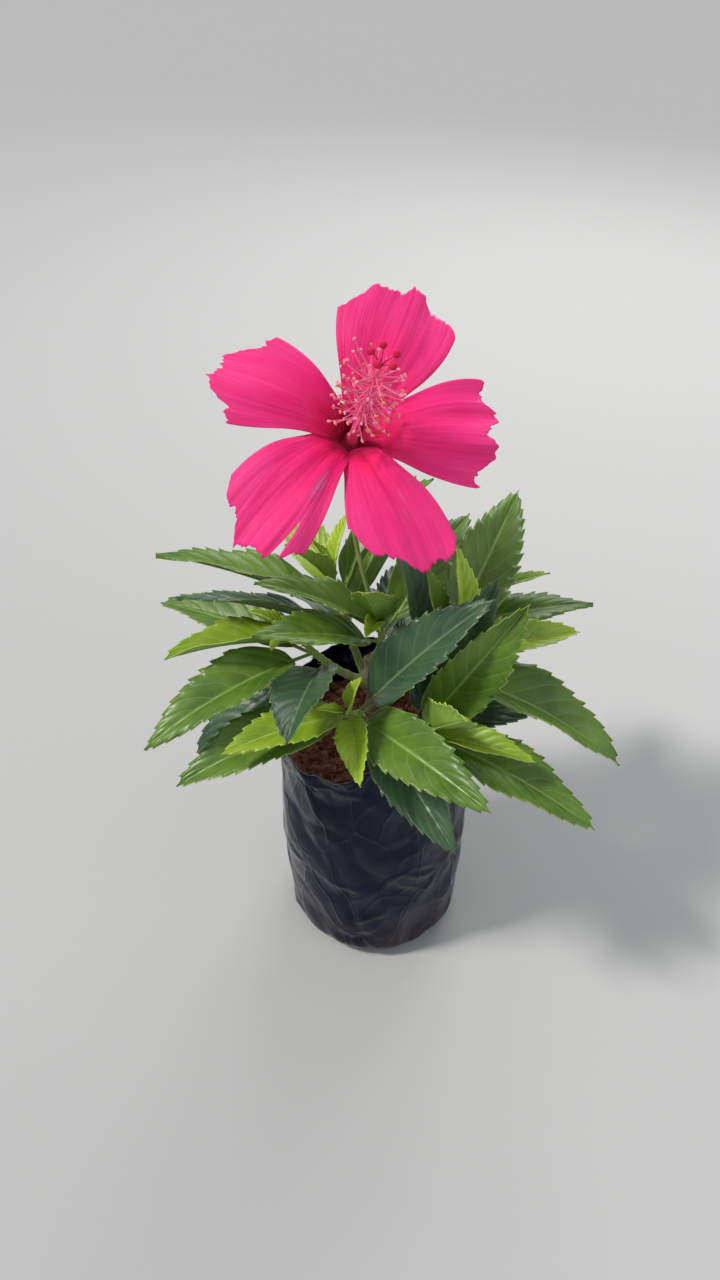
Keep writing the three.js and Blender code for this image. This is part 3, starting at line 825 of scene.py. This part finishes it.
def leaf_plan(shoot, order, shrink, tilt, turn):
    """A leaf of this order on its shoot, moved off its place by a turn and a tilt."""
    youth = order / (shoot.leaves - 1)
    chance = [scatter(order + 1, shoot.start + salt) for salt in range(6)]
    vary = leaf.vary
    length = leaf_length(shoot, youth) * (1 + vary.length * chance[0]) * shrink
    t = between(twig.leafy, youth**ageing.place)
    root = bezier(shoot.spine, t)
    ahead = heading(shoot.spine, t)
    outward = squared(polar(shoot.toward), ahead)
    angle = shoot.turn + order * spiral + vary.turn * chance[1] + turn
    radial = turned(outward, ahead.cross(outward), radians(angle))
    incline = between(leaf.incline, youth**ageing.incline) + vary.incline * chance[2] + tilt
    along = turned(ahead, radial, radians(incline))
    up = squared(ahead + Spot(0, 0, leaf.skyward), along)
    lateral = turned(up.cross(along), up, radians(vary.roll * chance[3]))
    return Sizes(
        youth=youth, key=order + 1 + 20 * shoot.start, length=length, along=along, lateral=lateral,
        root=root, ahead=ahead, radial=radial, up=along.cross(lateral),
        base=root + along * max(2.2, length * between(leaf.petiole, youth)),
        fold=radians(between(leaf.fold, youth) + vary.fold * chance[4]),
        bend=max(leaf.straightest, between(leaf.bend, youth) + vary.bend * chance[5]),
    )


foot_power, tip_power = leaf.outline
widest = foot_power / (foot_power + tip_power)
fullest = widest**foot_power * (1 - widest) ** tip_power


def half_width(u):
    return leaf.width / 2 * u**foot_power * (1 - u) ** tip_power / fullest + leaf.tip_width


def blade_point(plan, u, v, half, raised=0.0, ahead=0.0):
    """A spot on a blade folded along its midrib, which bends down in an arc."""
    arc = plan.bend * u
    over = turned(plan.up, plan.along, arc)
    forward = turned(plan.along, -plan.up, arc)
    midrib = (
        plan.base
        + plan.along * (plan.length * sin(arc) / plan.bend)
        - plan.up * (plan.length * (1 - cos(arc)) / plan.bend)
    )
    sideways = plan.lateral * (half * v * cos(plan.fold))
    return midrib + sideways + over * (half * abs(v) * sin(plan.fold) + raised) + forward * ahead


def leaf_samples(plan):
    """Points of a leaf to test its room with, and whether each is an outer one."""
    for share in (0.4, 0.7, 1):
        yield plan.root.lerp(plan.base, share), False
    steps = 18
    for step in range(1, steps + 1):
        u = step / steps
        half = plan.length * half_width(u)
        tooth = leaf.tooth * smooth(u, *leaf.toothed)
        for v in (-1, -0.67, -0.33, 0, 0.33, 0.67, 1):
            yield blade_point(plan, u, v, half * (1 + tooth * v * v)), u >= 0.25


class Room:
    """What a new leaf has to keep off, each point with its own distance."""

    widest_gap = 7.4

    def __init__(self):
        self.points = []
        self.tree = None

    def keep(self, at, gap, owner, outer=False):
        self.points.append((at, gap, owner, outer))

    def settle(self):
        self.tree = KDTree(len(self.points))
        for index, point in enumerate(self.points):
            self.tree.insert(point[0], index)
        self.tree.balance()

    def is_clear(self, samples, owner):
        for at, outer in samples:
            over_bag = hypot(at.x, at.y) < bag.radius + clearance.bag
            if at.z < (bag.height + clearance.bag if over_bag else clearance.lowest):
                return False
            for _, index, _ in self.tree.find_range(at, self.widest_gap):
                place, gap, other, other_outer = self.points[index]
                apart = dist(at, place)
                if other != owner and apart <= gap:
                    return False
                if other == owner and outer and other_outer and apart <= clearance.own_blade:
                    return False
        return True


def limbs_and_bloom(room):
    """Takes up the room of the stem, shoots, stalk and petals."""
    for step in range(13):
        room.keep(bezier(stem_spine, step / 12), stem_radius(step / 12) + clearance.limb, "stem")
    for shoot in shoots:
        for step in range(11):
            gap = between(twig.radius, step / 10) + clearance.limb
            room.keep(bezier(shoot.spine, step / 10), gap, shoot.name)
    for step in range(1, 21):
        room.keep(bezier(stalk_spine, step / 20), stalk.radius[0] + clearance.limb, "stalk")
    for index, form in enumerate(petals):
        for u in (0.45, 0.6, 0.75, 0.9, 1):
            for v in across_petal:
                at = petal_point(index, petal_reach(index, u, v), v)
                room.keep(in_bloom(at, form.angle), clearance.petal, "bloom")


def placed_leaf(room, shoot, order):
    """A leaf turned, then tilted, then shortened until it is clear, or None."""
    for move in product(tries.shrinks, tries.tilts, tries.turns):
        plan = leaf_plan(shoot, order, *move)
        if room.is_clear(leaf_samples(plan), shoot.name):
            return plan
    return None


def grow_leaves():
    """The shoots take turns, so that each finds room for its leaves."""
    room = Room()
    limbs_and_bloom(room)
    room.settle()
    for shoot in shoots:
        shoot.plans = []
    for order in range(max(shoot.leaves for shoot in shoots)):
        for shoot in shoots:
            plan = placed_leaf(room, shoot, order) if order < shoot.leaves else None
            if plan:
                shoot.plans.append(plan)
                for at, outer in leaf_samples(plan):
                    room.keep(at, clearance.blade, shoot.name, outer)
                room.settle()


# Boughs and twigs
def add_bough(shoot, bark):
    """A bare limb, swollen where it leaves the stem."""

    def radius(share, angle):
        swell = (twig.collar + 0.5) * (1 - smooth(share, 0.15, 0.6))
        at = bezier(shoot.spine, share * twig.bough)
        rough = bark_relief(at + around(angle, 2)) * mix(0.6, 0.15, share)
        return between(twig.radius, share * twig.bough) + swell + rough + 0.25 * bump(share, 0.72, 0.04)

    bm = fresh()
    tube(bm, shoot.spine, radius, 28, 44, stretch=(0.02, twig.bough))
    made_piece("limb_" + shoot.name, bm, [bark], "bough_" + shoot.name)


def add_twig(shoot, skin, tender):
    """The leafy part of a shoot, with leaf joints, stipules, side buds and a tip bud."""
    roots = [between(twig.leafy, plan.youth**ageing.place) for plan in shoot.plans]

    def radius(share, _):
        t = mix(twig.bough, 1, share)
        knots = sum(bump(t, root, 0.012) for root in roots)
        closing = sqrt(max(0.02, 1 - smooth(share, 0.97, 1)))
        return (between(twig.radius, t) + 0.3 * min(1, knots)) * closing

    def stipule(share, _):
        return between((0.38, 0.05), share)

    def bud(share, _):
        return 0.95 * sin(pi * mix(0.12, 0.97, share))

    bm = fresh()
    tube(bm, shoot.spine, radius, 16, 90, stretch=(twig.bough - 0.02, 1))
    for plan in shoot.plans:
        for side in (-1, 1):
            foot = plan.root + plan.radial * 1.2 + plan.lateral * side * 1.1
            way = plan.ahead * 3 + plan.radial * 2 + plan.lateral * side * 2
            tube(bm, [foot, foot + way * mix(1, 0.6, plan.youth)], stipule, 5, 3, finish=1)
        middle = plan.root + plan.radial * 1.6 + plan.ahead * 2.2
        points = [middle - plan.ahead * 1.2, middle + plan.ahead * 1.2 + plan.radial * 0.6]
        tube(bm, points, bud, 8, 6, finish=1)
    made_piece("twig_" + shoot.name, bm, [skin, tender], "foliage_" + shoot.name)


# Leaves
def add_blade(bm, plan, grade):
    """A blade with a toothed and wavy margin, quilted between its side veins."""
    teeth = round(mix(4, 9, min(1, plan.length / 84)))
    base_steps, tooth_steps, tip_steps, across = 12, 5, 4, 14
    teeth_steps = teeth * tooth_steps
    first_tooth, last_tooth = 0.27, 0.95
    phase_of_ruffle, limpness = scatter(plan.key, 41), scatter(plan.key, 42)

    def place(step, row):
        v = 2 * row / across - 1
        aside, right = abs(v), v > 0
        past = step - base_steps
        is_toothed = 0 < past < teeth_steps
        saw = past % tooth_steps / (tooth_steps - 1) if is_toothed else 0
        if past <= 0:
            u = first_tooth * step / base_steps
        elif past <= teeth_steps:
            u = mix(first_tooth, last_tooth, past / teeth_steps)
        else:
            u = mix(last_tooth, 1, (past - teeth_steps) / tip_steps)
        size = (0.1 + 0.05 * scatter(step // tooth_steps, plan.key + (1 if right else 2))) * saw
        narrowing = 1 - 0.9 * smooth(u, 0.93, 1)
        half = plan.length * half_width(u) * narrowing * (1 + (size - 0.05) * aside**5)
        phase = side_veins * (u - vein_sweep * aside**1.25)
        quilt = 0.0033 * (0.5 + 0.5 * cos(TURN * phase)) * 4 * aside * (1 - aside)
        ruffle = 0.016 * sin(TURN * (2.3 * u + phase_of_ruffle) + (1.7 if right else 0)) * v**4
        curl = -0.03 * aside**3 * smooth(u, 0.2, 0.8) * (0.6 + limpness)
        groove = -0.35 * bump(aside, 0, 0.1) * min(1, plan.length / 60)
        raised = plan.length * (quilt + ruffle + curl) * smooth(u, 0.02, 0.15) * (1 - u * 0.4) + groove
        forward = 0.025 * plan.length * saw * aside**6 * smooth(u, 0.2, 0.4)
        spot = blade_point(plan, u, v, half, raised, forward)
        return spot + swayed(plan, u), (u, row / across)

    grid(bm, base_steps + teeth_steps + tip_steps, across, place, finish=grade)


def swayed(plan, u):
    """How far a leaf strays sideways from its straight midrib."""
    return plan.lateral * (0.05 * scatter(plan.key, 40) * plan.length * u * u)


def add_leaf_stalk(bm, plan, grade):
    """The petiole, and the midrib that runs on under the blade."""
    end = plan.base + plan.along * plan.length * 0.04
    width = max(0.55, plan.length * 0.0105)

    def petiole(share, _):
        return width * (1 + 0.45 * (1 - smooth(share, 0, 0.12)) + 0.2 * smooth(share, 0.85, 1))

    tube(bm, [plan.root, plan.root.lerp(end, 0.5), end], petiole, 8, 10, finish=grade)
    ribs, sides = 16, 6
    sunk = 0.42 * width + 0.35 * min(1, plan.length / 60)
    stations = [0.9 * step / ribs for step in range(ribs + 1)]
    under = [blade_point(plan, u, 0, 0, raised=-sunk) + swayed(plan, u) for u in stations]

    def place(step, row):
        ahead = (under[min(ribs, step + 1)] - under[max(0, step - 1)]).normalized()
        side = squared(plan.lateral, ahead)
        size = 0 if step in (0, ribs) else width * mix(0.95, 0.3, step / ribs)
        out = turned(side, ahead.cross(side), -TURN * row / sides)
        return under[step] + out * size, (step / ribs, row / sides)

    grid(bm, ribs, sides, place, finish=grade, wrapped=True)


def add_leaves(shoot, faces):
    blades, stalks = fresh(), fresh()
    for plan in shoot.plans:
        uneven = plan.youth + 0.08 * scatter(plan.key, 50)
        grade = sum(uneven > limit for limit in leaf_grades)
        add_blade(blades, plan, grade)
        add_leaf_stalk(stalks, plan, grade)
    solid = "foliage_" + shoot.name
    made = made_piece("leaves_" + shoot.name, blades, faces.tops + faces.unders, solid)
    thicken(made, leaf_thick, under=len(faces.tops))
    made_piece("leaf_stalks_" + shoot.name, stalks, faces.stalks, solid)


def leaf_faces():
    """The finishes of tops, undersides and stalks, from old leaves to young."""
    ages = ("old", "grown", "fresh", "tender")
    tops = [
        ((0.026, 0.068, 0.034), (0.048, 0.11, 0.045), (0.13, 0.22, 0.09), (0.2, 0.28, 0.08), 0.33),
        ((0.06, 0.13, 0.013), (0.115, 0.215, 0.02), (0.23, 0.36, 0.07), (0.34, 0.44, 0.08), 0.36),
        ((0.18, 0.3, 0.01), (0.29, 0.42, 0.022), (0.42, 0.54, 0.1), (0.52, 0.62, 0.14), 0.38),
        ((0.28, 0.44, 0.018), (0.42, 0.57, 0.04), (0.55, 0.68, 0.14), (0.6, 0.68, 0.18), 0.4),
    ]
    unders = [
        ((0.12, 0.2, 0.09), (0.17, 0.27, 0.11), (0.3, 0.4, 0.18), (0.26, 0.34, 0.13)),
        ((0.15, 0.26, 0.075), (0.21, 0.34, 0.09), (0.34, 0.47, 0.16), (0.34, 0.42, 0.12)),
        ((0.2, 0.36, 0.05), (0.28, 0.46, 0.07), (0.42, 0.57, 0.16), (0.44, 0.52, 0.12)),
        ((0.3, 0.46, 0.06), (0.4, 0.56, 0.08), (0.52, 0.66, 0.18), (0.54, 0.6, 0.14)),
    ]
    stalks = [
        ((0.15, 0.13, 0.055), (0.28, 0.21, 0.105)),
        ((0.14, 0.25, 0.04), (0.25, 0.37, 0.08)),
        ((0.21, 0.36, 0.05), (0.34, 0.48, 0.09)),
        ((0.3, 0.45, 0.06), (0.45, 0.57, 0.12)),
    ]
    return Sizes(
        tops=[leaf_finish(age + " leaf", *colours) for age, colours in zip(ages, tops)],
        unders=[leaf_finish(age + " underside", *colours) for age, colours in zip(ages, unders)],
        stalks=[soft_finish(age + " stalk", *colours) for age, colours in zip(ages, stalks)],
    )


# The flower's stalk and calyx
def add_stalk():
    """The slender stalk, with its joint below the calyx and a wider top."""

    def radius(share, _):
        joint = 0.35 * bump(share, 0.8, 0.012)
        foot = 0.5 * (1 - smooth(share, 0, 0.05))
        return between(stalk.radius, smooth(share, 0.8, 1)) * 0.9 + joint + foot

    bm = fresh()
    tube(bm, stalk_spine, radius, 14, 90)
    skin = shoot_finish("flower stalk", (0.2, 0.26, 0.07), (0.34, 0.42, 0.13), (0.3, 0.9))
    made_piece("stalk_skin", bm, [skin], "flower_stalk")


def petals_within(height):
    """How far out the petals reach up to a height, with room to spare."""
    reach = 0
    for index in range(len(petals)):
        for step in range(30):
            for v in across_petal:
                at = petal_point(index, petal_reach(index, step * 0.02, v), v)
                if at.z < height + petal.room:
                    reach = max(reach, hypot(at.x, at.y))
    return (reach + petal.room / 2 + calyx.room) / cos(pi / calyx.sides)


def ring_radius(radii, height):
    """The bell's inner radius at a height, between its rings."""
    for (low, first), (high, last) in zip(radii, radii[1:]):
        if height <= high:
            return mix(first, last, smooth(height, low, high) * 0.3 + 0.7 * (height - low) / (high - low))
    return radii[-1][1]


def add_calyx():
    """The ribbed bell with five pointed lobes, and the narrow bracts below."""
    radii = [(height, petals_within(height)) for height in calyx.rings]
    lowest, foot_radius = radii[0]
    foot, up, sides = 8, 40, 160

    def place(step, angle):
        if step <= foot:
            share = step / foot
            radius = mix(1.6, foot_radius + calyx.wall, sin(share * pi / 2))
            return around(angle, radius, mix(calyx.base, lowest, share * share))
        lobe = max(0, cos(calyx.teeth * angle)) ** 0.8
        low = 1 - abs(cos(calyx.teeth * angle / 2))
        full = calyx.mouth + calyx.tooth * lobe - 3.2 * low
        height = mix(lowest, full, (step - foot) / up)
        inside = ring_radius(radii, min(height, calyx.mouth)) + calyx.wall
        open_out = 0.8 * calyx.flare * lobe * smooth(height, 8, full)
        rib = 0.16 * cos(calyx.teeth * 2 * angle) * smooth(height, 0, 6)
        return around(angle, inside * (1 + open_out) + rib - 0.09, height)

    def bract(share, _):
        return between(bracts.radius, share) * (0.75 + 0.25 * sin(pi * share))

    bm = fresh()
    lathe(bm, foot + up, sides, place)
    for number in range(bracts.count):
        angle = number * 360 / bracts.count + bracts.turn
        start, end = polar(angle, *bracts.foot), polar(angle, *bracts.tip)
        tube(bm, [start, start.lerp(end, 0.5) + polar(angle, 1.6, -1.6), end], bract, 6, 12)
    green = soft_finish("calyx green", (0.16, 0.27, 0.05), (0.33, 0.45, 0.12), 0.5, 60)
    made = made_piece("calyx_bell", bm, [green], "calyx", bloom_place)
    thicken(made, calyx_thick, offset=-1)


# Petals
def add_petal(index, finish):
    """A petal with pleats that fan out, a ruffled edge and a finely ragged margin."""
    along, across = 96, 64
    form = petals[index]
    seed = 7.65 * index

    def place(step, row):
        u, v = step / along, 2 * row / across - 1
        ragged = 0.02 * noise((v * 8, seed, 0)) + 0.016 * noise((v * 21, seed, 5))
        nicks = 0.035 * max(0, noise((v * 14, seed, 9)) - 0.42)
        t = petal_reach(index, u, v, (ragged + nicks) * smooth(u, 0.8, 1))
        at = petal_point(index, t, v, fuller=0.17, lapped=0.42)
        outer = smooth(t, 0.4, 1)
        fan = noise((v * 5, seed, t * 1.2))
        pleats = 0.13 * sin(24 * v + 9 * fan) * smooth(t, 0.15, 0.4)
        folds = 2.1 * noise((v * 2.2, seed + 9, t * 1.9)) * smooth(t, 0.22, 0.6)
        ruffle = 1.5 * outer * outer * noise((v * 4.2, seed + 4, t * 3))
        hem = 0.7 * abs(v) ** 6 * sin(15 * t + seed) * smooth(t, 0.35, 0.65)
        return at + (0, 0, pleats + folds + ruffle + hem), (u, row / across)

    bm = fresh()
    grid(bm, along, across, place)
    put = bloom_place @ Matrix.Rotation(radians(form.angle), 4, "Z")
    made = made_piece(form.name, bm, [finish], f"petal_{index + 1}", put)
    thicken(made, petal.thick)


def add_petals():
    plain = petal_finish("petal red")
    bruised = {
        2: petal_finish("petal bruised right", [(0.7, 0.7, 0.08), (0.78, 0.64, 0.06)]),
        3: petal_finish("petal bruised left", [(0.62, 0.74, 0.15), (0.74, 0.8, 0.1)]),
    }
    for index in range(len(petals)):
        add_petal(index, bruised.get(index, plain))


# The staminal column
column_spine = [
    Spot(0, 0, seat_gap),
    Spot(0, 0, column.length * column.straight),
    Spot(column.sideways, column.rise, column.length),
]


def on_column(share, angle):
    """A place on the column, the way ahead there, and the way out at an angle."""
    ahead = heading(column_spine, share)
    side = squared(Spot(1, 0, 0), ahead)
    return bezier(column_spine, share), ahead, turned(side, ahead.cross(side), radians(angle))


def add_stamens(bm, anthers):
    """The brush of filaments, with an uneven anther at the end of each."""
    chance = Random(5)
    draw = chance.random
    for number in range(stamens.count):
        share = between(stamens.along, number / (stamens.count - 1))
        at, ahead, out = on_column(share, number * stamens.turn)
        length = stamens.length * (1 + 0.22 * scatter(number, 3))
        rise = length * (stamens.lift + 0.3 * scatter(number, 4))
        end = at + out * length + ahead * rise
        knee = at + out * length * 0.55 + ahead * rise * (0.8 * draw() - 0.05)
        thin = (stamens.filament * 1.5, stamens.filament)
        tube(bm, [at, knee, end], lambda share, _: between(thin, share), 5, 7, finish=1)
        kind = chance.choices((0, 1), anther_kinds)[0]
        spin = Matrix.Rotation(draw() * TURN, 4, (draw(), 1, draw()))
        place = Matrix.Translation(end) @ spin @ Matrix.Diagonal((1, 0.62, 0.5, 1))
        size = stamens.anther * (0.9 + 0.25 * draw())
        middle = Vector(end)
        ball(anthers, 2, size, place, lambda co: (co - middle) * 0.18 * noise(co * 1.7), kind)


def add_styles(bm):
    """The five styles, each with a round velvety stigma."""
    for number in range(styles.count):
        at, ahead, out = on_column(0.99, number * 360 / styles.count + styles.turn)
        end = at + turned(ahead, out, radians(styles.splay)) * styles.length
        knee = at + ahead * styles.length * 0.55 + out * 0.6
        tube(bm, [at, knee, end], lambda share, _: styles.radius, 7, 10, finish=1)
        middle = Vector(end)
        place = Matrix.Translation(end)
        ball(bm, 4, styles.stigma, place, lambda co: (co - middle) * 0.2 * abs(noise(co * 3.1)))


def add_column():
    """The tube with its stamens, and the styles at its end."""

    def radius(share, _):
        swell = column.swell * (1 - smooth(share, 0.06, 0.2))
        return between(column.radius, share) + swell + column.foot * (1 - smooth(share, 0, 0.05))

    skin, anthers, stigmas = fresh(), fresh(), fresh()
    tube(skin, column_spine, radius, 20, 70)
    add_stamens(skin, anthers)
    add_styles(stigmas)
    skins = [
        soft_finish("column skin", (0.78, 0.02, 0.13), (0.92, 0.16, 0.32), 0.4, 10),
        soft_finish("filament", (0.8, 0.06, 0.21), (0.9, 0.21, 0.38), 0.4, 6),
    ]
    pollen = [
        soft_finish("anther rose", (0.82, 0.15, 0.25), (0.93, 0.36, 0.43), 0.75, 8),
        soft_finish("anther peach", (0.87, 0.15, 0.085), (0.95, 0.31, 0.19), 0.75, 8),
    ]
    tips = [
        soft_finish("stigma velvet", (0.5, 0.001, 0.04), (0.7, 0.004, 0.07), 0.7, 8),
        soft_finish("style", (0.68, 0.003, 0.08), (0.85, 0.02, 0.14), 0.45, 8),
    ]
    for name, bm, finishes in (
        ("column_tube", skin, skins), ("anthers", anthers, pollen), ("stigmas", stigmas, tips)
    ):
        made_piece(name, bm, finishes, "stamen_column", bloom_place)


# Floor and light
def add_floor():
    bm = bmesh.new()
    bmesh.ops.create_grid(bm, x_segments=1, y_segments=1, size=4)
    mesh = bpy.data.meshes.new("floor")
    bm.to_mesh(mesh)
    bm.free()
    plain, _ = material("plain floor", Roughness=0.9, Base_Color=(0.44, 0.44, 0.43, 1))
    mesh.materials.append(plain)
    linked("floor", mesh)


def add_light(kind, name, at, aim, **settings):
    data = bpy.data.lights.new(name, kind)
    for key, value in settings.items():
        setattr(data, key, value)
    made = linked(name, data)
    made.location = at
    made.rotation_euler = (Vector(aim) - Vector(at)).to_track_quat("-Z", "Y").to_euler()


def add_lights():
    raised = radians(52)
    sun_at = polar(192, cos(raised), sin(raised))
    middle = (0, 0, 0.2)
    add_light("SUN", "key", sun_at, (0, 0, 0), energy=2.5, angle=radians(9), color=(1, 0.98, 0.95))
    add_light("AREA", "fill", (0.9, -0.8, 0.7), middle, energy=3, size=1.2, color=(0.93, 0.96, 1))
    add_light("AREA", "rim", (0.35, 1, 0.9), middle, energy=7, size=0.8, color=(1, 1, 1))
    world = bpy.data.worlds.new("soft sky")
    world.use_nodes = True
    feed(world.node_tree.nodes["Background"], {0: (0.9, 0.94, 1, 1), 1: 0.5})
    bpy.context.scene.world = world
    bpy.context.scene.view_settings.view_transform = "Standard"


add_camera()
add_bag()
earth = [
    grainy_finish("red earth", (0.34, 0.112, 0.092), (0.6, 0.24, 0.205)),
    grainy_finish("dark earth", (0.17, 0.056, 0.046), (0.36, 0.135, 0.115)),
    grainy_finish("pale grain", (0.42, 0.27, 0.22), (0.66, 0.5, 0.43)),
]
add_soil(earth)
add_crumbs(earth)
add_stem()
grow_leaves()
limb_bark = shoot_finish("limb bark", (0.22, 0.15, 0.09), (0.22, 0.26, 0.085), (0.1, 0.9))
green_skin = shoot_finish("green skin", (0.2, 0.26, 0.08), (0.3, 0.42, 0.09), (0.0, 0.9))
tender_skin = soft_finish("tender skin", (0.24, 0.36, 0.07), (0.4, 0.5, 0.12))
faces_of_leaves = leaf_faces()
for shoot in shoots:
    add_bough(shoot, limb_bark)
    add_twig(shoot, green_skin, tender_skin)
    add_leaves(shoot, faces_of_leaves)
add_stalk()
add_calyx()
add_petals()
add_column()
add_floor()
add_lights()
